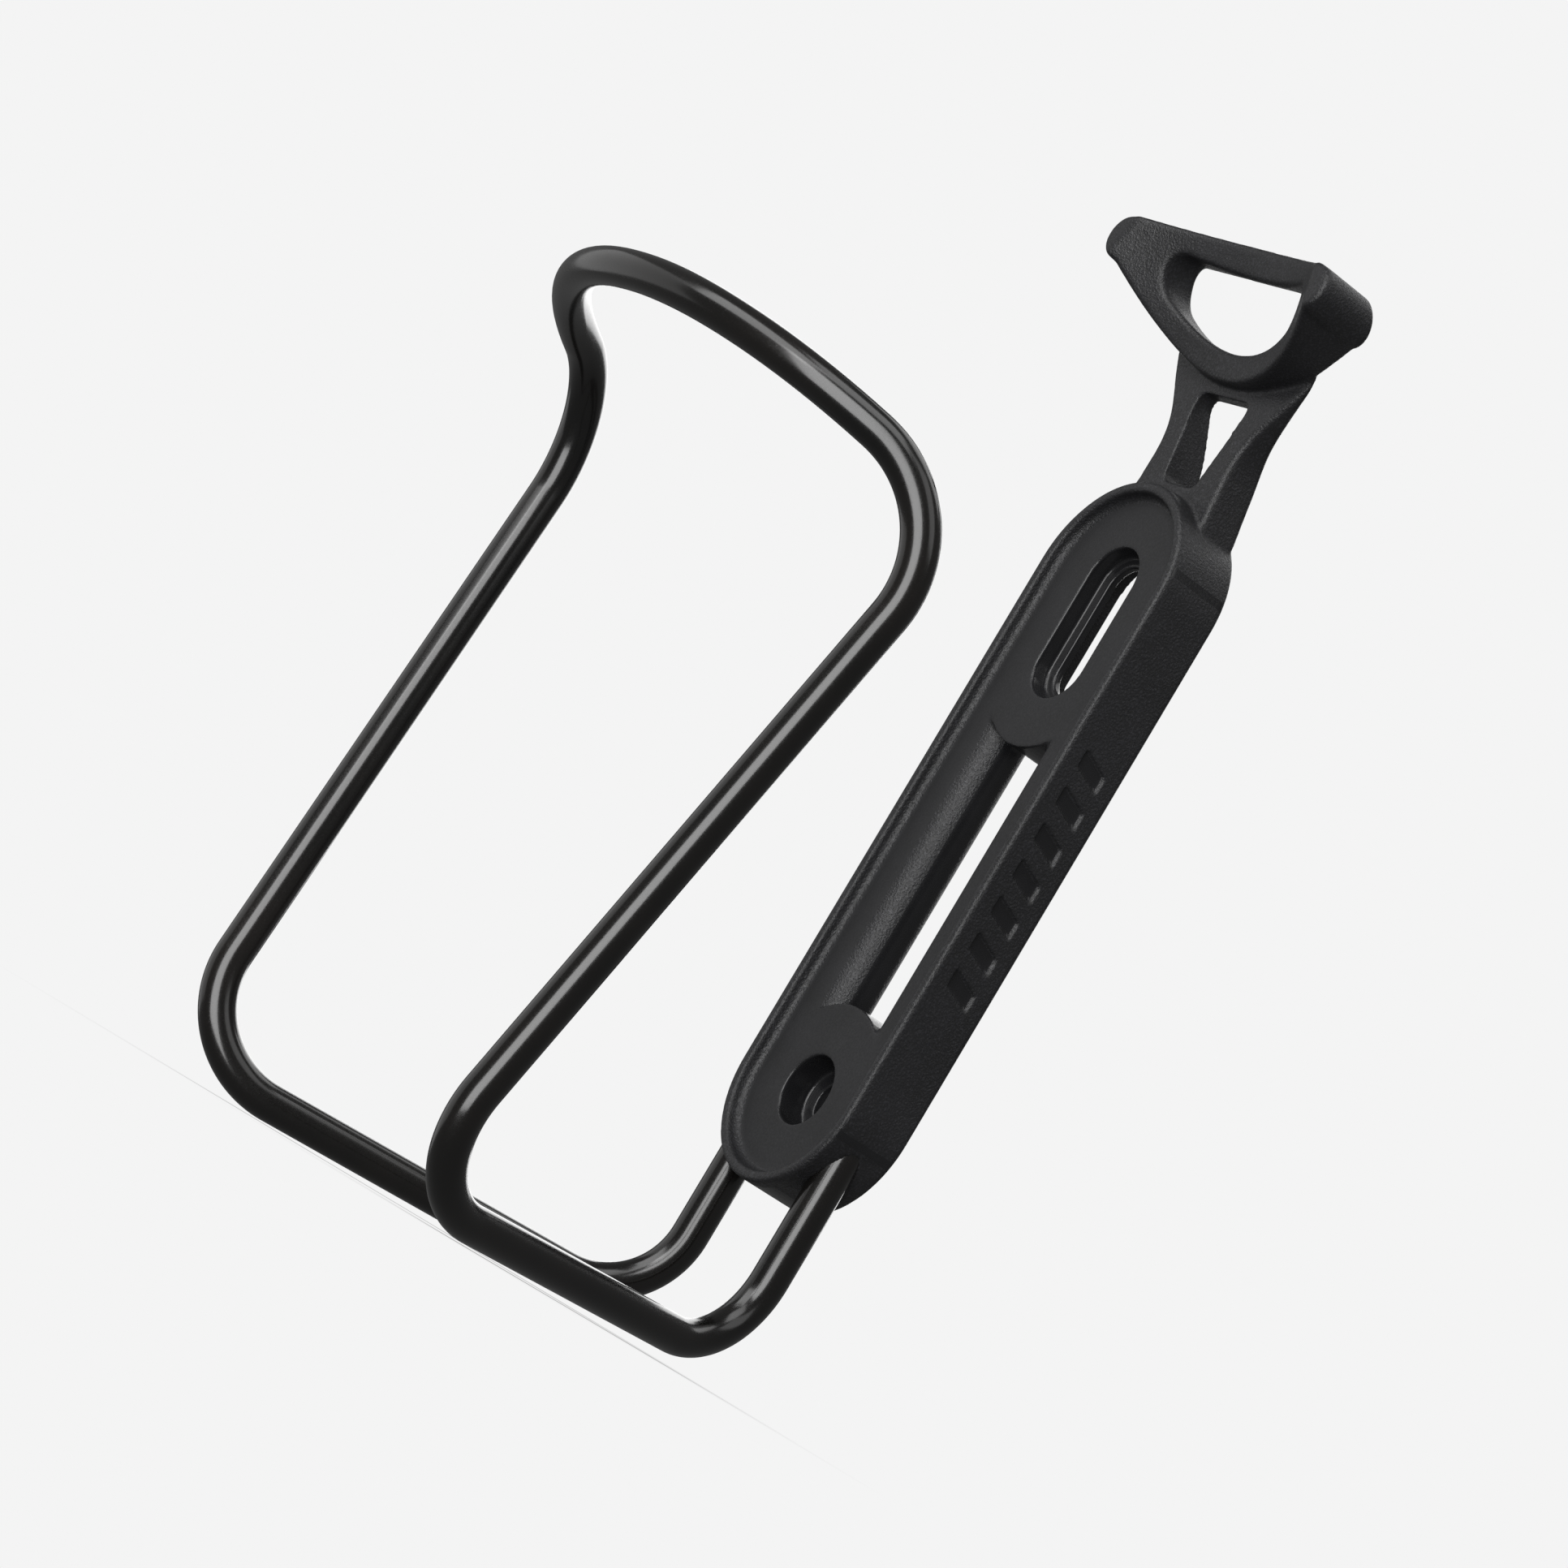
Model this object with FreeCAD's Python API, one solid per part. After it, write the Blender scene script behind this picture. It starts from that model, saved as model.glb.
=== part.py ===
import FreeCAD, Part
import os
from math import acos, radians, sin, sqrt, tan

V = FreeCAD.Vector

# A bicycle's water bottle cage: one bent rod held in the sockets of one moulded backbone.
# Millimetres. +Z runs up along the bottle, -Y towards the bottle, +X to the side.
# The origin is the lower bolt hole, on the face that sits against the bicycle tube.

# ---- sizes that everything follows ----
bottle_radius = 37.0
bolt_spacing = 64.0
rod_diameter = 5.0
body_half_width = 14.0
body_depth = 10.4

# ---- backbone body ----
slot_travel = 12.4               # how far the upper bolt can slide
front_round = 0.6
back_round = 0.8
lip_width = 1.6
lip_round = 0.55
floor_recess = 1.85
edge_round = 0.3                 # round the rims of the bolt places and of the bosses
channel_start = 5.0              # the channel starts this far inside each bolt place
floor_round = 1.15               # where the floor meets the inside of the lip
sleeve_wall = 1.3                # added to the socket's radius for the round of the sleeve
sleeve_inward = 1.75             # from the leg's line to the sleeve's

# ---- fit between the rod and the backbone ----
socket_clearance = 0.1           # radial
socket_extra_depth = 1.5
socket_side_wall = 0.9
socket_front_wall = 2.4
socket_below_upper_bolt = 18.0   # where the legs end

# ---- bolt places ----
bolt_hole_diameter = 5.6
bolt_head_diameter = 9.8
bolt_seat = 4.35                 # plate left under the lower bolt's head
slot_head_width = 10.0
slot_head_depth = 2.6
slot_width = 7.0
slot_seat = 1.2                  # plate left under the upper bolt's head
slot_hollow_wall = 5.4

# ---- bent rod, from the legs to the loop round the bottle's front ----
foot_height = -35.2
foot_radius = 12.2
corner_height = -37.0
corner_inside_bottle = 3.7
corner_past_axis = 25.0
corner_radius = 13.3
shoulder_height = 64.3
shoulder_outside_bottle = 8.8
shoulder_past_axis = 12.6
shoulder_radius = 15.9
loop_height = 72.2
loop_gap = 7.0                   # from the bottle to the rod's axis
loop_turn = 57.0                 # degrees, in each of the loop's two bends

# ---- row of slanted bars pressed into both sides ----
bar_count = 7
bar_width = 2.6
bar_pitch = 5.4
bar_height = 4.6
bar_slant = 1.8
bar_depth = 0.5
bar_start = 18.0

# ---- neck and head: heights are above the centre of the body's round top end ----
neck_behind_lip = 3.3
neck_outline = [(10.3, 5.6), (9.4, 11.6), (8.8, 17.1), (8.7, 20.3), (9.6, 23.9), (11.7, 27.4),
                (13.6, 30.1), (15.5, 32.8), (17.2, 35.6)]
neck_thickness = [(6.5, 5.6), (6.5, 11.6), (6.0, 15.6), (5.4, 19.6), (4.1, 23.6), (2.5, 27.6),
                  (1.3, 30.6), (0.4, 32.9), (-0.5, 34.6), (-1.5, 36.6), (-2.6, 39.6), (-3.8, 42.6),
                  (-5.9, 48.0)]
neck_off_tube = 0.6              # the neck's back stays this far off the mounting face
neck_overlap = 2.2               # how far the neck's foot runs under the body's lip
window_low = 15.6
window_high = 28.6
window_low_half = 3.6
window_high_half = 6.0
window_corner = 1.6
neck_lean = 0.6                  # how far the neck's front leans towards the bottle
neck_lean_from = 12.0
neck_lean_to = 30.0
neck_round = 0.8

# ---- head ----
head_round = 0.6
head_turn = 1.3                  # degrees out of true, with the tip on the +X side lower
head_low = [(0.0, 29.9), (6.0, 30.5), (12.0, 32.4), (17.6, 35.2), (22.4, 38.6)]
head_tip = (25.2, 42.2)
head_top_corner = (23.2, 44.8)
head_top = 47.4
head_low_gap = 0.7               # behind the bottle's side, at the bottom of the head
wing_flat_from = 19.6            # half the width where the wing tips turn blunt
head_grip = 3.7                  # into the bottle's groove, at the top of the head
hole_half_width = 15.7
hole_low = 33.8
hole_side_low = 38.4
hole_high = 43.3
hole_corner = 2.6
hole_low_corner = 3.5

# ---- sizes that follow ----
leg_offset = body_half_width - socket_side_wall - socket_clearance - rod_diameter / 2
leg_depth = body_depth - socket_front_wall - socket_clearance - rod_diameter / 2
leg_top = bolt_spacing - socket_below_upper_bolt
bottle_axis = body_depth + bottle_radius
slot_high = bolt_spacing + slot_travel
inner_half_width = body_half_width - lip_width
floor_depth = body_depth - floor_recess
neck_front = body_depth - neck_behind_lip


def bent_wire(points, radii):
    """A line through points with a round bend of the given radius at every inner point."""
    edges = []
    start = points[0]
    for index in range(1, len(points) - 1):
        before = (points[index - 1] - points[index]).normalize()
        after = (points[index + 1] - points[index]).normalize()
        half = acos(before.dot(after)) / 2
        radius = radii[index - 1]
        first = points[index] + before * (radius / tan(half))
        last = points[index] + after * (radius / tan(half))
        bisector = (before + after).normalize()
        middle = points[index] + bisector * (radius / sin(half) - radius)
        edges.append(Part.LineSegment(start, first).toShape())
        edges.append(Part.Arc(first, middle, last).toShape())
        start = last
    edges.append(Part.LineSegment(start, points[-1]).toShape())
    return Part.Wire(edges)


def stadium(radius, low, high, front, depth):
    """A long round-ended block across the middle plane, from y = front to front + depth."""
    left = V(-radius, front, low)
    right = V(radius, front, low)
    top_right = V(radius, front, high)
    top_left = V(-radius, front, high)
    edges = [Part.Arc(left, V(0, front, low - radius), right).toShape(),
             Part.LineSegment(right, top_right).toShape(),
             Part.Arc(top_right, V(0, front, high + radius), top_left).toShape(),
             Part.LineSegment(top_left, left).toShape()]
    return Part.Face(Part.Wire(edges)).extrude(V(0, depth, 0))


def disc(radius, height, front, depth):
    """A round block along Y."""
    return Part.makeCylinder(radius, depth, V(0, front, height), V(0, 1, 0))


def block(low, high):
    """A box between two corners."""
    size = high - low
    return Part.makeBox(size.x, size.y, size.z, low)


def both_sides(shape):
    """The shape and its mirror image across the middle plane."""
    return [shape, shape.mirror(V(0, 0, 0), V(1, 0, 0))]


def outline_point(point, side=1):
    """A (side, height) pair measured from the body's round top end, as a point at y = 0."""
    return V(side * point[0], 0, slot_high + point[1])


def smooth_curve(points, side=1):
    """A smooth curve through (side, height) pairs."""
    curve = Part.BSplineCurve()
    curve.interpolate([outline_point(point, side) for point in points])
    return curve.toShape()


def straight(first, last):
    return Part.LineSegment(first, last).toShape()


def make_rod():
    """One rod: leg, foot, corner, shoulder and loop, and the same again on the other side."""
    loop_radius = bottle_radius + loop_gap
    loop_side = loop_radius * tan(radians(loop_turn / 2))
    half = [V(leg_offset, -leg_depth, leg_top),
            V(leg_offset, -leg_depth, foot_height),
            V(bottle_radius - corner_inside_bottle, -bottle_axis - corner_past_axis, corner_height),
            V(bottle_radius + shoulder_outside_bottle, -bottle_axis - shoulder_past_axis, shoulder_height),
            V(loop_side, -bottle_axis - loop_radius, loop_height)]
    other = [V(-point.x, point.y, point.z) for point in reversed(half)]
    radii = [foot_radius, corner_radius, shoulder_radius, loop_radius]
    path = bent_wire(half + other, radii + radii[::-1])
    section = Part.Wire(Part.makeCircle(rod_diameter / 2, half[0], V(0, 0, -1)))
    return path.makePipeShell([section], True, False)


def make_body():
    """The long round-ended body with its lip, floor, channel, sleeves and sockets."""
    body = stadium(body_half_width, 0, slot_high, -body_depth, body_depth)
    body = body.makeFillet(front_round, [e for e in body.Edges if e.BoundBox.YMax < 0.01 - body_depth])
    body = body.makeFillet(back_round, [e for e in body.Edges if e.BoundBox.YMin > -0.01])
    recess = stadium(inner_half_width, 0, slot_high, -body_depth - 1, floor_recess + 1)
    floor_edges = [e for e in recess.Edges if e.BoundBox.YMin > -floor_depth - 0.01]
    recess = recess.makeFillet(floor_round, floor_edges)
    body = body.cut(recess)
    lip = [e for e in body.Edges if e.BoundBox.YMax < 0.01 - body_depth]
    lip = [e for e in lip if max(e.BoundBox.XMax, -e.BoundBox.XMin) < inner_half_width + 0.01]
    body = body.makeFillet(lip_round, lip)

    # channel between the two bosses, with a sleeve round each of the rod's legs
    bosses = disc(inner_half_width, 0, -body_depth - 2, body_depth + 4)
    bosses = bosses.fuse(disc(inner_half_width, bolt_spacing, -body_depth - 2, body_depth + 4))
    channel = block(V(-leg_offset, -body_depth - 1, channel_start),
                    V(leg_offset, 1, bolt_spacing - channel_start))
    body = body.cut(channel.cut(bosses))
    zone = block(V(-inner_half_width, -body_depth, channel_start),
                 V(inner_half_width, 0, bolt_spacing - channel_start)).cut(bosses)
    sleeve_radius = rod_diameter / 2 + socket_clearance + sleeve_wall
    sleeve_offset = leg_offset - sleeve_inward
    sleeve_line = V(sleeve_offset, sleeve_radius - floor_depth, 0)
    sleeve = Part.makeCylinder(sleeve_radius, bolt_spacing, sleeve_line)
    sleeve = sleeve.fuse(block(V(sleeve_offset, -floor_depth, 0),
                               V(leg_offset + sleeve_wall, 2 * sleeve_radius - floor_depth, bolt_spacing)))
    for side in both_sides(sleeve):
        body = body.fuse(side.common(zone))
    below = body_half_width + 2
    socket = Part.makeCylinder(rod_diameter / 2 + socket_clearance, leg_top + socket_extra_depth + below,
                               V(leg_offset, -leg_depth, -below))
    for side in both_sides(socket):
        body = body.cut(side)
    return body


def cut_bolt_places(body):
    """The lower hole and the upper slot, each stepped for its bolt's head."""
    body = body.cut(disc(bolt_hole_diameter / 2, 0, -body_depth, body_depth + 1))
    body = body.cut(disc(bolt_head_diameter / 2, 0, -body_depth - 1, body_depth + 1 - bolt_seat))
    body = body.cut(stadium(slot_width / 2, bolt_spacing, slot_high, -body_depth, body_depth + 1))
    body = body.cut(stadium(slot_head_width / 2, bolt_spacing, slot_high, -floor_depth - 1,
                            slot_head_depth + 1))
    hollow = floor_depth - slot_head_depth - slot_seat
    hollow_radius = body_half_width - slot_hollow_wall
    body = body.cut(stadium(hollow_radius, bolt_spacing, slot_high, -hollow, hollow + 1))
    widest = max(slot_head_width, bolt_head_diameter) + 0.01
    rims = [e for e in body.Edges if abs(e.BoundBox.YMin + floor_depth) < 0.01 and e.BoundBox.YLength < 0.01
            and e.BoundBox.XMax <= widest / 2 and e.BoundBox.XMin >= -widest / 2]
    return body.makeFillet(edge_round, rims)


def cut_bars(body):
    """The row of slanted bars pressed into both sides of the body."""
    inside = body_half_width - bar_depth
    front = -body_depth / 2 - bar_height / 2
    back = -body_depth / 2 + bar_height / 2
    for index in range(bar_count):
        low = bar_start + index * bar_pitch
        corners = [V(inside, front, low + bar_slant), V(inside, front, low + bar_slant + bar_width),
                   V(inside, back, low + bar_width), V(inside, back, low)]
        bar = Part.Face(Part.makePolygon(corners + corners[:1])).extrude(V(2, 0, 0))
        for side in both_sides(bar):
            body = body.cut(side)
    return body


def neck_plate():
    """The waisted plate between the body and the head, before its back is shaped."""
    foot = straight(outline_point(neck_outline[0], -1), outline_point(neck_outline[0]))
    top = straight(outline_point(neck_outline[-1]), outline_point(neck_outline[-1], -1))
    face = Part.Face(Part.Wire([foot, smooth_curve(neck_outline), top, smooth_curve(neck_outline, -1)]))
    plate = face.extrude(V(0, -bottle_axis, 0))
    beside = -2 * bottle_radius
    front = [V(beside, -neck_front, 0),
             V(beside, -neck_front, slot_high + neck_lean_from),
             V(beside, -neck_front - neck_lean, slot_high + neck_lean_to),
             V(beside, -neck_front - neck_lean, 2 * slot_high),
             V(beside, -2 * bottle_axis, 2 * slot_high),
             V(beside, -2 * bottle_axis, 0)]
    room = Part.Face(Part.makePolygon(front + front[:1])).extrude(V(4 * bottle_radius, 0, 0))
    return plate.cut(room)


def neck_window():
    """The tapered opening in the neck."""
    corners = [outline_point((window_low_half, window_low)),
               outline_point((window_high_half, window_high)),
               outline_point((window_high_half, window_high), -1),
               outline_point((window_low_half, window_low), -1)]
    opening = Part.Face(Part.makePolygon(corners + corners[:1])).extrude(V(0, -body_depth, 0))
    upright = [e for e in opening.Edges if e.BoundBox.YLength > body_depth / 2]
    return opening.makeFillet(window_corner, upright)


def side_profile():
    """The room in front of the neck's and head's back, seen from the side."""
    curve = Part.BSplineCurve()
    across = -2 * bottle_radius
    curve.interpolate([V(across, thickness - neck_front, slot_high + height)
                       for thickness, height in neck_thickness])
    low = curve.StartPoint
    high = curve.EndPoint
    front_low = V(low.x, -bottle_axis, low.z)
    front_high = V(high.x, -bottle_axis, high.z)
    face = Part.Face(Part.Wire([curve.toShape(), straight(high, front_high), straight(front_high, front_low),
                                straight(front_low, low)]))
    room = face.extrude(V(4 * bottle_radius, 0, 0))
    return room.cut(block(V(across - 1, -neck_off_tube, 0), V(1 - across, bottle_axis, 2 * high.z)))


def head_plate():
    """The winged head, hollowed to follow the bottle and leaning into the bottle's groove."""
    top_right = outline_point(head_top_corner)
    top_left = outline_point(head_top_corner, -1)
    tips = [Part.Arc(outline_point(head_low[-1], side), outline_point(head_tip, side),
                     outline_point(head_top_corner, side)).toShape() for side in (1, -1)]
    top = Part.Arc(top_right, outline_point((0, head_top)), top_left).toShape()
    face = Part.Face(Part.Wire([smooth_curve(head_low), tips[0], top, tips[1], smooth_curve(head_low, -1)]))
    top_radius = bottle_radius - head_grip
    blunt = bottle_axis - sqrt(top_radius * top_radius - wing_flat_from * wing_flat_from)
    head = face.extrude(V(0, -blunt, 0))
    low = slot_high + head_low[0][1]
    rise = head_top - head_low[0][1]
    slope = (head_low_gap + head_grip) / rise
    bottle = Part.makeCone(bottle_radius + head_low_gap + 4 * slope, top_radius - 4 * slope,
                           rise + 8, V(0, -bottle_axis, low - 4))
    return head.cut(bottle)


def head_opening():
    """The D-shaped opening in the head, flat at the top."""
    side = hole_half_width
    corner = hole_corner
    nearly = corner * (1 - sin(radians(45)))
    flat_end = (side - corner, hole_high)
    edges = [straight(outline_point(flat_end), outline_point(flat_end, -1)),
             Part.Arc(outline_point((side, hole_side_low), -1), outline_point((0, hole_low)),
                      outline_point((side, hole_side_low))).toShape()]
    for way in (1, -1):
        edges.append(Part.Arc(outline_point(flat_end, way),
                              outline_point((side - nearly, hole_high - nearly), way),
                              outline_point((side, hole_high - corner), way)).toShape())
        edges.append(straight(outline_point((side, hole_high - corner), way),
                              outline_point((side, hole_side_low), way)))
    opening = Part.Face(Part.Wire(Part.sortEdges(edges)[0])).extrude(V(0, -bottle_axis, 0))
    low_corner_height = slot_high + hole_side_low
    low_corners = [e for e in opening.Edges if e.BoundBox.YLength > bottle_axis / 2
                   and abs(e.BoundBox.ZMin - low_corner_height) < 0.01]
    return opening.makeFillet(hole_low_corner, low_corners)


def make_backbone():
    """The whole moulding."""
    body = cut_bars(cut_bolt_places(make_body()))
    profile = side_profile()
    under_lip = disc(body_half_width - neck_overlap, slot_high, -body_depth - 1, body_depth + 2)
    neck = neck_plate().common(profile).cut(neck_window())
    outline = [e for e in neck.Edges if e.BoundBox.ZLength > 2 * neck_round
               and max(e.BoundBox.XMin, -e.BoundBox.XMax) > window_high_half]
    neck = neck.makeFillet(neck_round, outline).cut(under_lip)
    head = head_plate().common(profile).cut(head_opening())
    head = head.makeFillet(head_round, head.Edges)
    head.rotate(outline_point((0, hole_low)), V(0, 1, 0), head_turn)
    return body.fuse(neck.fuse(head)).removeSplitter()


os.makedirs("parts", exist_ok=True)
make_rod().exportStep("parts/cage_rod.step")
make_backbone().exportStep("parts/backbone.step")
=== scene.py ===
"""A bicycle's water bottle cage: one bent, painted rod held in a moulded backbone."""

import logging
import math
import random
from dataclasses import dataclass, field
from enum import Enum
from typing import Any, Sequence

import bmesh
import bpy
from mathutils import Matrix, Vector


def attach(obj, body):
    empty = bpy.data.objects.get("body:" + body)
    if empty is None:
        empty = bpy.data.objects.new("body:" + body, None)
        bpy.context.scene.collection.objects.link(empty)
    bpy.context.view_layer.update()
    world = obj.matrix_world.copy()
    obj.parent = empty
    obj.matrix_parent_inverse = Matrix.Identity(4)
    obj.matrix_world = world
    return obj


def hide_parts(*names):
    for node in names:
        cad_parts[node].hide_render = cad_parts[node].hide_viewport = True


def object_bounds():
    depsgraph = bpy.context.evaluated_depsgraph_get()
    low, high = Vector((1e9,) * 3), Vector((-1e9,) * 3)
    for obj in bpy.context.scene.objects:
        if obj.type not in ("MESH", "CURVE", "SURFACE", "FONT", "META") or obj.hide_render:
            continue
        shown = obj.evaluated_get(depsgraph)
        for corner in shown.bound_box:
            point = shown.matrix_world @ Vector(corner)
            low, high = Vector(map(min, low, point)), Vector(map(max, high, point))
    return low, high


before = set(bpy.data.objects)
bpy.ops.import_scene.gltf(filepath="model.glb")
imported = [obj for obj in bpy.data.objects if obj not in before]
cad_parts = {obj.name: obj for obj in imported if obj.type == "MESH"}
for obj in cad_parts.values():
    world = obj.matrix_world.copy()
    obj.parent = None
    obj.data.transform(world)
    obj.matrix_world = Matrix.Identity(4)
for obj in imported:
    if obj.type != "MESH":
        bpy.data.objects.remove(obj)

CAD_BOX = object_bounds()
MM = 0.001
ANY = 10.0  # beyond every place and direction, for a side that has no limit
log = logging.getLogger("bottle_cage")


class Slot(Enum):
    """The record's material slots."""

    ROD = "painted_rod"
    BACKBONE = "moulded_backbone"


def linear(hex_colour: str) -> tuple[float, float, float, float]:
    """Turns an sRGB hex colour into the linear colour that shaders take.

    Args:
        hex_colour: A colour such as "#2b2b2d".

    Returns:
        Red, green, blue and an alpha of 1.
    """
    parts = [int(hex_colour.lstrip("#")[i:i + 2], 16) / 255 for i in (0, 2, 4)]
    red, green, blue = (c / 12.92 if c <= 0.04045 else ((c + 0.055) / 1.055) ** 2.4 for c in parts)
    return red, green, blue, 1.0


def add_node(tree: bpy.types.NodeTree, kind: str, settings: dict[str, Any] | None = None,
             inputs: dict[Any, Any] | None = None) -> bpy.types.Node:
    """Adds a node, sets its options, and fills or links its inputs.

    Args:
        tree: The node tree to add to.
        kind: Blender's name for the node, such as "ShaderNodeMath".
        settings: Attributes to set on the node.
        inputs: Input name or number to a value, or to an output socket to link.

    Returns:
        The new node.
    """
    node = tree.nodes.new(kind)
    for name, value in (settings or {}).items():
        setattr(node, name, value)
    for key, value in (inputs or {}).items():
        if isinstance(value, bpy.types.NodeSocket):
            tree.links.new(value, node.inputs[key])
        else:
            node.inputs[key].default_value = value
    return node


def per_metre(size_mm: float) -> float:
    """The texture scale at which one cell of a pattern is this many millimetres wide.

    Args:
        size_mm: The pattern's real pitch in millimetres.

    Returns:
        The scale for object coordinates in metres.
    """
    return 1000.0 / size_mm


def ramp_stops(node: bpy.types.Node, stops: Sequence[tuple[float, str]]) -> None:
    """Fills a colour ramp.

    Args:
        node: A colour ramp node.
        stops: Positions from 0 to 1 with their sRGB hex colours, in order.
    """
    elements = node.color_ramp.elements
    while len(elements) < len(stops):
        elements.new(0.5)
    for element, (position, colour) in zip(elements, stops):
        element.position = position
        element.color = linear(colour)


@dataclass(frozen=True)
class Finish:
    """A surface finish; each kind fills its own shader."""

    name: str

    def make(self) -> bpy.types.Material:
        """Builds the material.

        Returns:
            The finished material.
        """
        material = bpy.data.materials.new(self.name)
        material.use_nodes = True
        tree = material.node_tree
        tree.nodes.clear()
        shader = add_node(tree, "ShaderNodeBsdfPrincipled")
        self.fill(tree, shader)
        add_node(tree, "ShaderNodeOutputMaterial", inputs={"Surface": shader.outputs["BSDF"]})
        return material

    def fill(self, tree: bpy.types.NodeTree, shader: bpy.types.Node) -> None:
        """Sets the shader's colour, gloss and relief.

        Args:
            tree: The material's node tree.
            shader: The principled shader.
        """
        raise NotImplementedError


@dataclass(frozen=True)
class StovedEnamel(Finish):
    """Gloss black stoved enamel on bent rod.

    Sprayed and baked, so it flows out smooth with a faint orange peel, and the light lies
    on it in long soft streaks.
    """

    colour: str = "#080807"
    thin: str = "#151210"
    cloud_mm: float = 22.0
    peel_mm: float = 1.8
    peel_depth_mm: float = 0.02
    haze_mm: float = 0.3
    clearest: float = 0.18
    haziest: float = 0.3

    def fill(self, tree: bpy.types.NodeTree, shader: bpy.types.Node) -> None:
        """Sets the enamel's colour, gloss and orange peel.

        Args:
            tree: The material's node tree.
            shader: The principled shader.
        """
        where = add_node(tree, "ShaderNodeTexCoord").outputs["Object"]
        cloud = add_node(tree, "ShaderNodeTexNoise", inputs={
            "Vector": where, "Scale": per_metre(self.cloud_mm), "Detail": 3.0, "Roughness": 0.55})
        tint = add_node(tree, "ShaderNodeValToRGB", inputs={"Fac": cloud.outputs["Fac"]})
        ramp_stops(tint, [(0.35, self.colour), (0.75, self.thin)])
        haze = add_node(tree, "ShaderNodeTexNoise", inputs={
            "Vector": where, "Scale": per_metre(self.haze_mm), "Detail": 2.0, "Roughness": 0.6})
        gloss = add_node(tree, "ShaderNodeMapRange", inputs={
            "Value": haze.outputs["Fac"], "From Min": 0.3, "From Max": 0.8,
            "To Min": self.clearest, "To Max": self.haziest})
        peel = add_node(tree, "ShaderNodeTexNoise", inputs={
            "Vector": where, "Scale": per_metre(self.peel_mm), "Detail": 1.5, "Roughness": 0.45})
        relief = add_node(tree, "ShaderNodeBump", inputs={
            "Height": peel.outputs["Fac"], "Strength": 0.1, "Distance": self.peel_depth_mm * MM})
        tree.links.new(tint.outputs["Color"], shader.inputs["Base Color"])
        tree.links.new(gloss.outputs["Result"], shader.inputs["Roughness"])
        tree.links.new(relief.outputs["Normal"], shader.inputs["Normal"])
        shader.inputs["IOR"].default_value = 1.5
        shader.inputs["Coat Weight"].default_value = 0.8
        shader.inputs["Coat Roughness"].default_value = 0.15
        shader.inputs["Coat IOR"].default_value = 1.5


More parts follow.
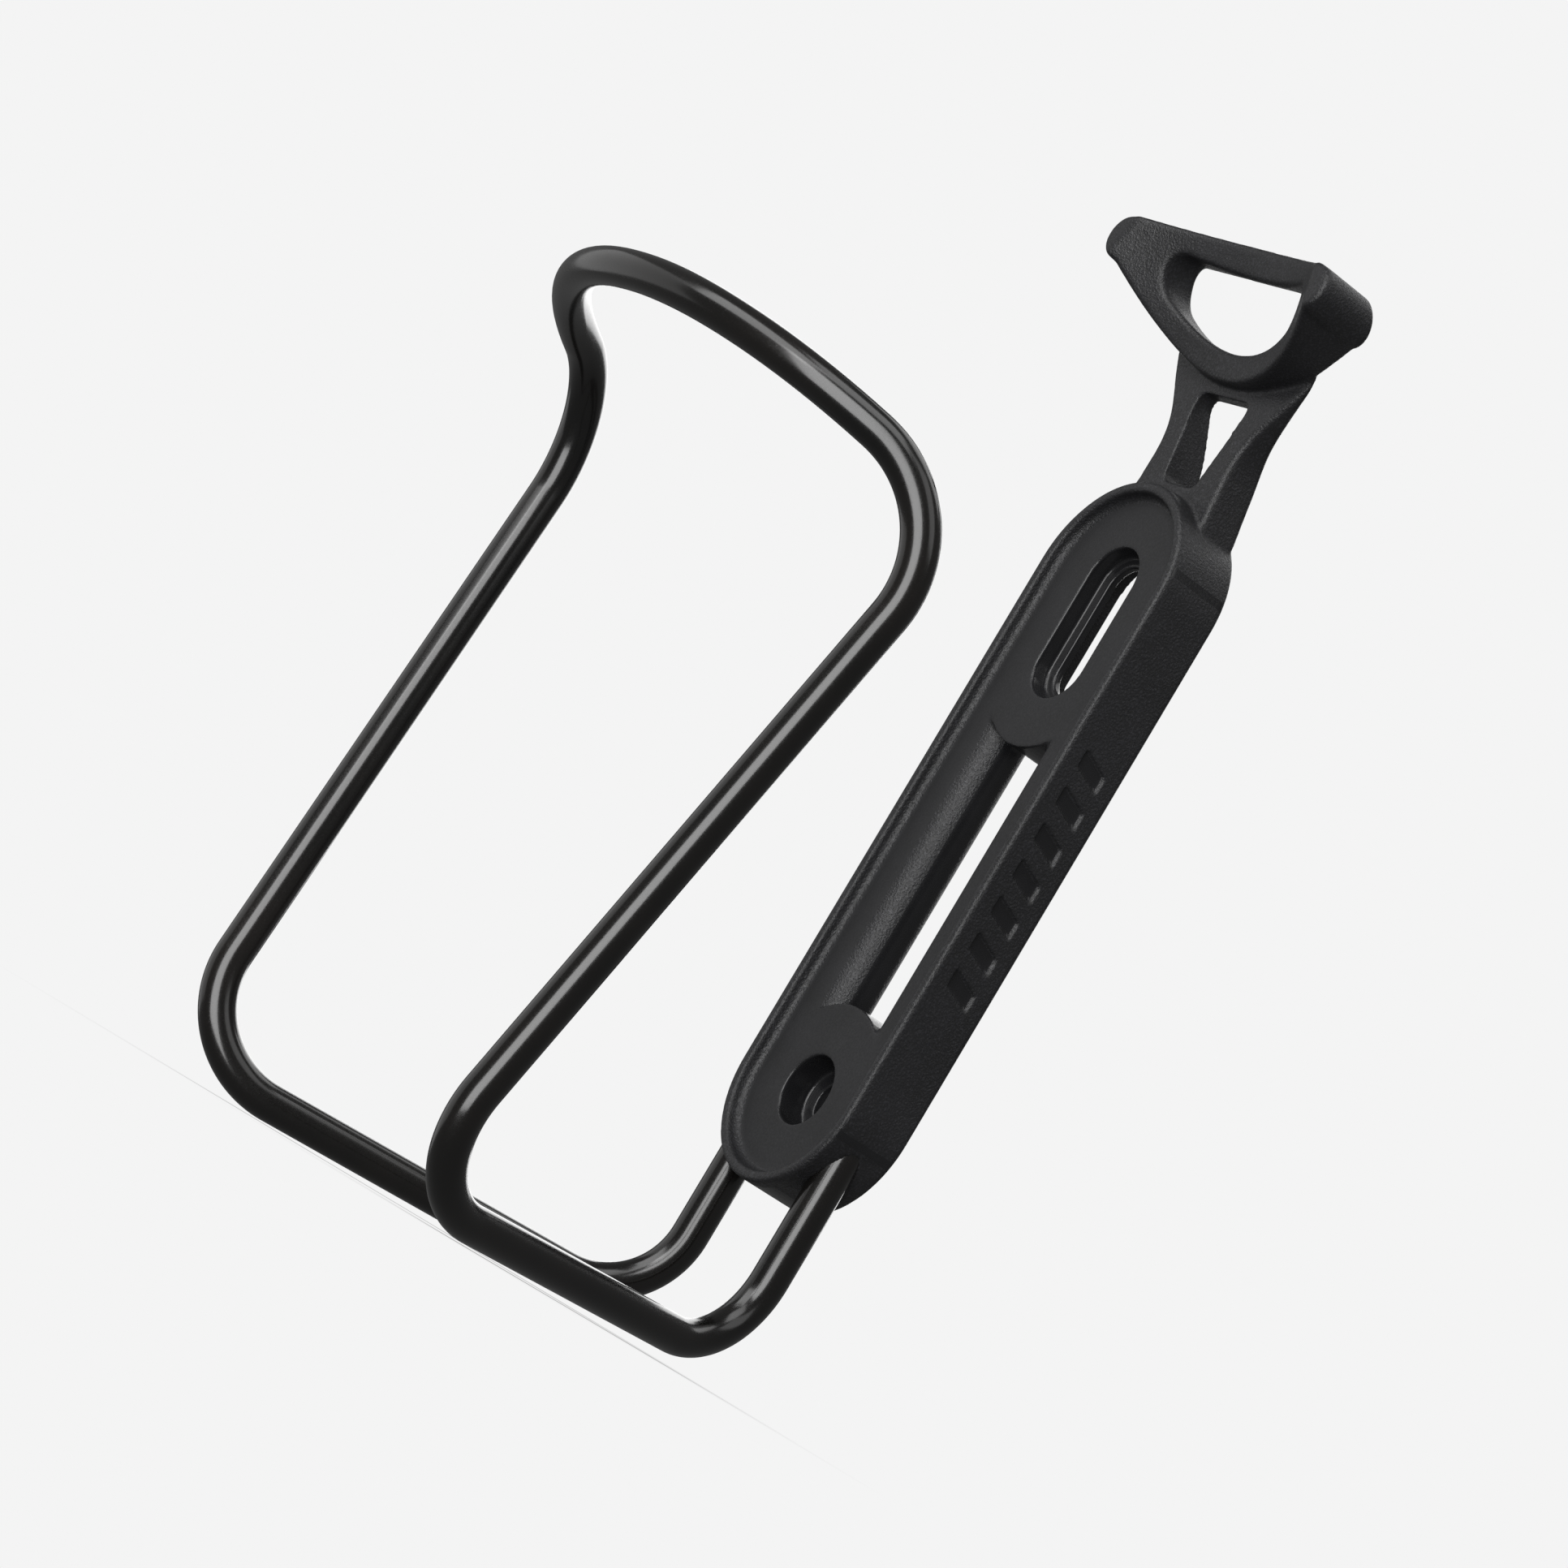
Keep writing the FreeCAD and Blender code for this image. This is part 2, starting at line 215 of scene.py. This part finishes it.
@dataclass(frozen=True)
class SparkGrainNylon(Finish):
    """Glass-filled nylon moulded in a spark-eroded tool.

    The tool's fine sand grain breaks the light into small glints on every rounded edge, and the
    grain's peaks are painted a paler grey besides, as painted glints. The recessed floor round
    the bolts is even and matt, and the bolt places and the pressed bars come from polished parts
    of the tool and look darker. The real grain is about 0.1 mm, and is drawn coarser so that it
    shows.
    """

    colour: str = "#19191a"
    pale: str = "#222224"
    cloud_mm: float = 9.0
    grain_mm: float = 0.32
    grain_depth_mm: float = 0.13
    # painted glints: the paler grey painted on the grain's peaks
    painted_glint: str = "#3c3c40"
    between_grains: float = 0.52
    on_grains: float = 0.32
    grain_left: float = 0.12
    matt_level_mm: float = -8.55
    matt_rougher: float = 0.2
    polished_smoother: float = 0.2
    pocket_half_mm: float = 5.15
    pocket_top_mm: float = 82.0
    bar_floor_mm: float = 13.5
    slack_mm: float = 0.2

    def fill(self, tree: bpy.types.NodeTree, shader: bpy.types.Node) -> None:
        """Sets the nylon's colour, sheen and moulded grain.

        Args:
            tree: The material's node tree.
            shader: The principled shader.
        """
        where = add_node(tree, "ShaderNodeTexCoord")
        cloud = add_node(tree, "ShaderNodeTexNoise", inputs={
            "Vector": where.outputs["Object"], "Scale": per_metre(self.cloud_mm),
            "Detail": 4.0, "Roughness": 0.6})
        tint = add_node(tree, "ShaderNodeValToRGB", inputs={"Fac": cloud.outputs["Fac"]})
        ramp_stops(tint, [(0.3, self.colour), (0.75, self.pale)])
        matt, polished = self.tool_parts(tree, where)
        smooth = add_node(tree, "ShaderNodeMath", {"operation": "MAXIMUM"}, {0: matt, 1: polished})
        grainy = add_node(tree, "ShaderNodeMapRange", inputs={
            "Value": smooth.outputs[0], "To Min": 1.0, "To Max": self.grain_left})
        grain = add_node(tree, "ShaderNodeTexNoise", inputs={
            "Vector": where.outputs["Object"], "Scale": per_metre(self.grain_mm),
            "Detail": 2.0, "Roughness": 0.65})
        gloss = add_node(tree, "ShaderNodeMapRange", inputs={
            "Value": grain.outputs["Fac"], "From Min": 0.3, "From Max": 0.7,
            "To Min": self.between_grains, "To Max": self.on_grains})
        # Painted glints: the grain's peaks get the paler grey as base colour, standing in for the glints
        # that the grain catches.
        peaks = add_node(tree, "ShaderNodeMapRange", inputs={
            "Value": grain.outputs["Fac"], "From Min": 0.5, "From Max": 0.72, "To Max": 0.6})
        painted_glints = add_node(tree, "ShaderNodeMath", {"operation": "MULTIPLY"}, {
            0: peaks.outputs["Result"], 1: grainy.outputs["Result"]})
        colour = add_node(tree, "ShaderNodeMixRGB", inputs={
            "Fac": painted_glints.outputs[0], "Color1": tint.outputs["Color"], "Color2": linear(self.painted_glint)})
        dulled = add_node(tree, "ShaderNodeMath", {"operation": "MULTIPLY_ADD"}, {
            0: matt, 1: self.matt_rougher, 2: gloss.outputs["Result"]})
        roughness = add_node(tree, "ShaderNodeMath", {"operation": "MULTIPLY_ADD"}, {
            0: polished, 1: -self.polished_smoother, 2: dulled.outputs[0]})
        relief = add_node(tree, "ShaderNodeBump", inputs={
            "Height": grain.outputs["Fac"], "Strength": grainy.outputs["Result"],
            "Distance": self.grain_depth_mm * MM})
        tree.links.new(colour.outputs["Color"], shader.inputs["Base Color"])
        tree.links.new(roughness.outputs[0], shader.inputs["Roughness"])
        tree.links.new(relief.outputs["Normal"], shader.inputs["Normal"])
        shader.inputs["IOR"].default_value = 1.53

    def tool_parts(self, tree: bpy.types.NodeTree,
                   where: bpy.types.Node) -> tuple[bpy.types.NodeSocket, bpy.types.NodeSocket]:
        """Finds the surfaces that the tool's own smooth parts made.

        Args:
            tree: The material's node tree.
            where: The texture coordinates.

        Returns:
            1 on the matt floor round the bolts, and 1 in the polished bolt places and bars.
        """
        place = add_node(tree, "ShaderNodeSeparateXYZ", inputs={0: where.outputs["Object"]}).outputs
        facing = add_node(tree, "ShaderNodeSeparateXYZ", inputs={0: where.outputs["Normal"]}).outputs
        beside = add_node(tree, "ShaderNodeMath", {"operation": "ABSOLUTE"}, {0: place["X"]}).outputs[0]
        sideways = add_node(tree, "ShaderNodeMath", {"operation": "ABSOLUTE"}, {0: facing["X"]}).outputs[0]
        level, bar, slack = self.matt_level_mm * MM, self.bar_floor_mm * MM, self.slack_mm * MM
        matt = self.within(tree, [(place["Y"], level - slack, level + slack), (facing["Y"], -ANY, -0.95)])
        pockets = self.within(tree, [(beside, -ANY, self.pocket_half_mm * MM),
                                     (place["Y"], level + slack / 2, ANY),
                                     (place["Z"], -ANY, self.pocket_top_mm * MM)])
        bars = self.within(tree, [(beside, bar - slack / 2, bar + slack), (sideways, 0.9, ANY)])
        polished = add_node(tree, "ShaderNodeMath", {"operation": "MAXIMUM"}, {0: pockets, 1: bars})
        return matt, polished.outputs[0]

    def within(self, tree: bpy.types.NodeTree,
               limits: Sequence[tuple[bpy.types.NodeSocket, float, float]]) -> bpy.types.NodeSocket:
        """Tells where every value lies between its limits.

        Args:
            tree: The material's node tree.
            limits: Each value with its lower and upper limit.

        Returns:
            1 where all of them hold, and 0 elsewhere.
        """
        result = None
        for value, low, high in limits:
            above = add_node(tree, "ShaderNodeMath", {"operation": "GREATER_THAN"}, {0: value, 1: low})
            below = add_node(tree, "ShaderNodeMath", {"operation": "LESS_THAN"}, {0: value, 1: high})
            both = add_node(tree, "ShaderNodeMath", {"operation": "MULTIPLY"}, {
                0: above.outputs[0], 1: below.outputs[0]}).outputs[0]
            result = both if result is None else add_node(
                tree, "ShaderNodeMath", {"operation": "MULTIPLY"}, {0: result, 1: both}).outputs[0]
        return result


@dataclass(frozen=True)
class StudioPaper(Finish):
    """Matte white paper under the object, as bright as the surround.

    It darkens softly where the object stands close over it.
    """

    colour: str = "#f4f4f4"
    shade_reach_mm: float = 30.0

    def fill(self, tree: bpy.types.NodeTree, shader: bpy.types.Node) -> None:
        """Sets a plain pale surface with a soft contact shade.

        Args:
            tree: The material's node tree.
            shader: The principled shader.
        """
        shade = add_node(tree, "ShaderNodeAmbientOcclusion", {"samples": 16}, {
            "Color": linear(self.colour), "Distance": self.shade_reach_mm * MM})
        tree.links.new(shade.outputs["Color"], shader.inputs["Emission Color"])
        shader.inputs["Emission Strength"].default_value = 1.0
        shader.inputs["Base Color"].default_value = linear("#000000")
        shader.inputs["Roughness"].default_value = 1.0
        shader.inputs["Specular IOR Level"].default_value = 0.0


@dataclass
class WireLoop:
    """The bent rod: two legs, two feet under the bottle, two uprights and the front loop.

    Sizes are in millimetres. The line runs through the corners of one half, from the leg's
    end in the backbone to the loop, and each corner is bent to its radius. The rod is drawn a
    hair thinner than the designed 5 mm.
    """

    diameter: float = 4.98
    bottle_radius: float = 37.0
    bottle_axis: float = -47.4
    leg: tuple[float, float, float] = (10.5, -5.4, 46.0)
    foot_height: float = -35.2
    corner: tuple[float, float, float] = (33.3, -72.4, -37.0)
    shoulder: tuple[float, float, float] = (45.8, -60.0, 64.3)
    loop_height: float = 72.2
    loop_gap: float = 7.0
    loop_turn: float = 57.0
    bend_radii: tuple[float, float, float] = (12.2, 13.3, 15.9)
    end_round: float = 0.4
    sides: int = 40
    bend_step: float = 2.5
    finish: Finish = field(default_factory=lambda: StovedEnamel("stoved_gloss_enamel"))

    def build(self) -> list[bpy.types.Object]:
        """Makes and dresses the rod.

        Returns:
            The pieces made.
        """
        rod = self.swept(self.line())
        dress(rod, self.finish.make())
        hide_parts("cage_rod")
        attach(rod, "root")
        return [rod]

    def line(self) -> list[Vector]:
        """The rod's middle line, with its bends divided finely.

        Returns:
            Points in millimetres from one leg's end to the other's.
        """
        loop_radius = self.bottle_radius + self.loop_gap
        loop_side = loop_radius * math.tan(math.radians(self.loop_turn / 2))
        x, y, _ = self.leg
        half = [Vector(self.leg), Vector((x, y, self.foot_height)), Vector(self.corner),
                Vector(self.shoulder), Vector((loop_side, self.bottle_axis - loop_radius, self.loop_height))]
        corners = half + [Vector((-point.x, point.y, point.z)) for point in reversed(half)]
        radii = (*self.bend_radii, loop_radius, loop_radius, *reversed(self.bend_radii))
        points = [corners[0]]
        for before, corner, after, radius in zip(corners, corners[1:], corners[2:], radii):
            points.extend(self.bend(before, corner, after, radius))
        return [*points, corners[-1]]

    def bend(self, before: Vector, corner: Vector, after: Vector, radius: float) -> list[Vector]:
        """Rounds one corner of the line.

        Args:
            before: The point before the corner.
            corner: The corner.
            after: The point after it.
            radius: The radius of the bend.

        Returns:
            Points along the round bend.
        """
        back, on = (before - corner).normalized(), (after - corner).normalized()
        half = back.angle(on) / 2
        centre = corner + (back + on).normalized() * (radius / math.sin(half))
        first = corner + back * (radius / math.tan(half)) - centre
        axis = back.cross(on)
        turn = math.pi - 2 * half
        count = max(2, round(math.degrees(turn) / self.bend_step))
        return [centre + Matrix.Rotation(-turn * step / count, 3, axis) @ first for step in range(count + 1)]

    def swept(self, line: list[Vector]) -> bpy.types.Object:
        """Sweeps a round section along a line, with rounded ends.

        Args:
            line: Points in millimetres.

        Returns:
            The swept object.
        """
        ways = [(after - before).normalized()
                for before, after in zip([line[0], *line], [*line[1:], line[-1]])]
        radius = self.diameter / 2
        first, last, inset = line[0], line[-1], self.end_round
        stops = [(first, radius - inset), (first + ways[0] * inset, radius),
                 *((point, radius) for point in line[1:-1]),
                 (last - ways[-1] * inset, radius), (last, radius - inset)]
        ways = [ways[0], *ways, ways[-1]]
        mesh = bmesh.new()
        across = ways[0].orthogonal().normalized()
        rings = []
        for (point, size), way in zip(stops, ways):
            across = (across - way * across.dot(way)).normalized()
            beside = way.cross(across)
            angles = (math.tau * side / self.sides for side in range(self.sides))
            rings.append([mesh.verts.new((point + (across * math.cos(a) + beside * math.sin(a)) * size) * MM)
                          for a in angles])
        for ring, onward in zip(rings, rings[1:]):
            for side in range(self.sides):
                beyond = (side + 1) % self.sides
                mesh.faces.new((ring[side], ring[beyond], onward[beyond], onward[side]))
        mesh.faces.new(rings[0][::-1])
        mesh.faces.new(rings[-1])
        bmesh.ops.recalc_face_normals(mesh, faces=mesh.faces)
        return as_object(mesh, "bent_rod")


@dataclass
class Backbone:
    """The moulded backbone with its neck and head.

    The moulding's edges are all rounded a little, and the head's more. Sizes are in
    millimetres.
    """

    voxel: float = 0.25
    edge_rounds: int = 5
    head_rounds: int = 14
    head_from: float = 106.0
    head_blend: float = 3.0
    socket: tuple[float, float] = (10.5, -5.4)
    socket_radius: float = 2.6
    rod_radius: float = 2.5
    rod_bite: float = 0.2
    on_wall: float = 0.02
    finish: Finish = field(default_factory=lambda: SparkGrainNylon("spark_grain_nylon"))

    def build(self, source: bpy.types.Object) -> list[bpy.types.Object]:
        """Makes the moulding with its small rounded edges and blended corners.

        Args:
            source: The designed backbone.

        Returns:
            The pieces made.
        """
        mesh = bmesh.new()
        mesh.from_mesh(source.data)
        self.close_on_rod(mesh)
        piece = as_object(mesh, "backbone_moulding")
        apply_modifier(piece, "REMESH", mode="VOXEL", voxel_size=self.voxel * MM)
        apply_modifier(piece, "SMOOTH", factor=0.5, iterations=self.edge_rounds)
        self.round_head(piece)
        shade_smooth(piece)
        dress(piece, self.finish.make())
        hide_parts("backbone")
        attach(piece, "root")
        return [piece]

    def close_on_rod(self, mesh: bmesh.types.BMesh) -> None:
        """Draws the sockets' walls in, so that the moulding closes on the rod without a gap.

        Args:
            mesh: The designed backbone's mesh.
        """
        for vertex in mesh.verts:
            place = vertex.co / MM
            centre = Vector((math.copysign(self.socket[0], place.x), self.socket[1]))
            out = Vector((place.x, place.y)) - centre
            if place.z < self.head_from and abs(out.length - self.socket_radius) < self.on_wall:
                out *= (self.rod_radius - self.rod_bite) / out.length
                vertex.co.x, vertex.co.y = (centre + out) * MM

    def round_head(self, piece: bpy.types.Object) -> None:
        """Rounds the head's edges more than the body's.

        Args:
            piece: The moulding.
        """
        group = piece.vertex_groups.new(name="head")
        for vertex in piece.data.vertices:
            share = min(1.0, (vertex.co.z / MM - self.head_from) / self.head_blend)
            if share > 0:
                group.add([vertex.index], share, "REPLACE")
        apply_modifier(piece, "SMOOTH", factor=0.5, iterations=self.head_rounds, vertex_group="head")


@dataclass(frozen=True)
class SoftBox:
    """A rectangular soft box: its direction as shares of right, up and back, its size and power."""

    name: str
    way: tuple[float, float, float]
    width: float
    height: float
    watts: float
    colour: str = "#ffffff"


@dataclass
class Studio:
    """The floor, the soft lights and the camera."""

    floor_gap_mm: float = 0.2
    floor_radius: float = 0.6
    backdrop: str = "#f4f4f4"
    eye_mm: tuple[float, float, float] = (603.41, -410.16, -36.08)
    turn: float = 58.132
    rise: float = -5.378
    roll: float = 30.984
    lens_mm: float = 130.12
    middle_mm: tuple[float, float, float] = (0.0, -45.0, 40.0)
    box_distance: float = 1.2
    surround_share: float = 0.12
    boxes: tuple[SoftBox, ...] = (
        SoftBox("key", (-0.22, 0.32, 0.92), 0.85, 1.25, 13.5),
        SoftBox("upper", (-0.24, 0.9, 0.36), 1.0, 0.7, 5.0),
        SoftBox("upper_right", (0.45, 0.8, 0.4), 0.7, 0.7, 2.6),
        SoftBox("right", (0.85, 0.3, 0.4), 0.6, 0.8, 1.2),
        SoftBox("rear_right", (0.75, 0.5, -0.45), 0.7, 0.7, 1.8),
        SoftBox("rear_left", (-0.78, 0.5, -0.42), 1.3, 1.3, 2.1),
        SoftBox("back", (0.35, 0.1, -0.93), 0.9, 0.9, 4.0),
    )

    def build(self) -> list[bpy.types.Object]:
        """Sets the floor, world, lights and camera.

        Returns:
            The floor.
        """
        floor = self.lay_floor()
        self.set_world()
        self.set_lights(floor)
        self.set_camera()
        return [floor]

    def lay_floor(self) -> bpy.types.Object:
        """Lays the floor just under the object.

        Returns:
            The floor.
        """
        low, _ = CAD_BOX
        made = bmesh.new()
        bmesh.ops.create_circle(made, cap_ends=True, segments=128, radius=self.floor_radius)
        floor = as_object(made, "floor")
        floor.location.z = low.z - self.floor_gap_mm * MM
        floor.visible_diffuse = False
        floor.visible_glossy = False
        floor.visible_shadow = False
        dress(floor, StudioPaper("studio_paper").make())
        return floor

    def set_world(self) -> None:
        """Makes a pale surround that lights the object gently."""
        world = bpy.data.worlds.new("surround")
        world.use_nodes = True
        tree = world.node_tree
        tree.nodes.clear()
        seen = add_node(tree, "ShaderNodeBackground", inputs={
            "Color": linear(self.backdrop), "Strength": 1.0})
        given = add_node(tree, "ShaderNodeBackground", inputs={
            "Color": linear(self.backdrop), "Strength": self.surround_share})
        path = add_node(tree, "ShaderNodeLightPath")
        mix = add_node(tree, "ShaderNodeMixShader", inputs={
            0: path.outputs["Is Camera Ray"], 1: given.outputs[0], 2: seen.outputs[0]})
        add_node(tree, "ShaderNodeOutputWorld", inputs={"Surface": mix.outputs[0]})
        bpy.context.scene.world = world

    def set_lights(self, floor: bpy.types.Object) -> None:
        """Hangs the soft boxes round the object, placed from where the camera looks.

        Some of them reach below the floor, so the floor is left to the surround.

        Args:
            floor: The floor.
        """
        spared = bpy.data.collections.new("not_lit_by_boxes")
        spared.objects.link(floor)
        spared.collection_objects[0].light_linking.link_state = "EXCLUDE"
        axes = self.axes()
        for box in self.boxes:
            self.hang(box, axes).light_linking.receiver_collection = spared

    def hang(self, box: SoftBox, axes: tuple[Vector, Vector, Vector]) -> bpy.types.Object:
        """Hangs one soft box, facing the middle of the object.

        Args:
            box: The soft box.
            axes: The camera's right, up and back directions.

        Returns:
            The lamp's object.
        """
        lamp = bpy.data.lights.new(box.name, "AREA")
        lamp.shape = "RECTANGLE"
        lamp.size = box.width
        lamp.size_y = box.height
        lamp.energy = box.watts
        lamp.color = linear(box.colour)[:3]
        way = sum((axis * share for axis, share in zip(axes, box.way)), Vector())
        middle = Vector(self.middle_mm) * MM
        holder = bpy.data.objects.new(box.name, lamp)
        holder.location = middle + way.normalized() * self.box_distance
        holder.rotation_mode = "QUATERNION"
        holder.rotation_quaternion = (-way).to_track_quat("-Z", "Y")
        bpy.context.scene.collection.objects.link(holder)
        return holder

    def axes(self) -> tuple[Vector, Vector, Vector]:
        """The camera's right, up and back directions.

        Returns:
            Three unit vectors in the object's frame.
        """
        turn, rise, roll = (math.radians(a) for a in (self.turn, self.rise, self.roll))
        right = Vector((math.cos(turn), math.sin(turn), 0.0))
        back = Vector((math.sin(turn) * math.cos(rise), -math.cos(turn) * math.cos(rise), math.sin(rise)))
        up = back.cross(right)
        return (right * math.cos(roll) + up * math.sin(roll),
                up * math.cos(roll) - right * math.sin(roll), back)

    def set_camera(self) -> None:
        """Sets the camera at its angle, with no shift and no depth of field."""
        right, up, back = self.axes()
        data = bpy.data.cameras.new("camera")
        data.lens = self.lens_mm
        data.sensor_width = 36.0
        data.clip_start = 0.005
        data.clip_end = 20.0
        camera = bpy.data.objects.new("camera", data)
        turned = Matrix((right, up, back)).transposed().to_4x4()
        camera.matrix_world = Matrix.Translation(Vector(self.eye_mm) * MM) @ turned
        bpy.context.scene.collection.objects.link(camera)
        bpy.context.scene.camera = camera


def apply_modifier(piece: bpy.types.Object, kind: str, **settings: Any) -> None:
    """Adds a modifier and bakes it into the mesh.

    Args:
        piece: The object to change.
        kind: Blender's modifier type.
        **settings: Attributes to set on the modifier.
    """
    modifier = piece.modifiers.new(kind.lower(), kind)
    for name, value in settings.items():
        setattr(modifier, name, value)
    bpy.context.view_layer.update()
    graph = bpy.context.evaluated_depsgraph_get()
    mesh = bpy.data.meshes.new_from_object(piece.evaluated_get(graph))
    piece.modifiers.clear()
    piece.data = mesh


def as_object(mesh: bmesh.types.BMesh, name: str) -> bpy.types.Object:
    """Turns a mesh into a smooth object in the scene.

    Args:
        mesh: The mesh, which is freed.
        name: The object's name.

    Returns:
        The object.
    """
    data = bpy.data.meshes.new(name)
    mesh.to_mesh(data)
    mesh.free()
    piece = bpy.data.objects.new(name, data)
    bpy.context.scene.collection.objects.link(piece)
    shade_smooth(piece)
    return piece


def shade_smooth(piece: bpy.types.Object) -> None:
    """Shades every face of the piece smoothly."""
    piece.data.polygons.foreach_set("use_smooth", [True] * len(piece.data.polygons))


def dress(piece: bpy.types.Object, material: bpy.types.Material) -> None:
    """Gives a piece one material in all its slots.

    Args:
        piece: The object to dress.
        material: Its material.
    """
    if not piece.material_slots:
        piece.data.materials.append(material)
    for place in piece.material_slots:
        place.material = material


def main() -> None:
    """Builds the cage and its studio, and reports each piece."""
    logging.basicConfig(level=logging.INFO, format="%(message)s")
    random.seed(7)
    bpy.context.scene.view_settings.view_transform = "Standard"
    for piece in WireLoop().build() + Backbone().build(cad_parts["backbone"]):
        log.info("%s: %d faces", piece.name, len(piece.data.polygons))
    for piece in Studio().build():
        log.info("stage: %s", piece.name)


if __name__ == "__main__":
    main()
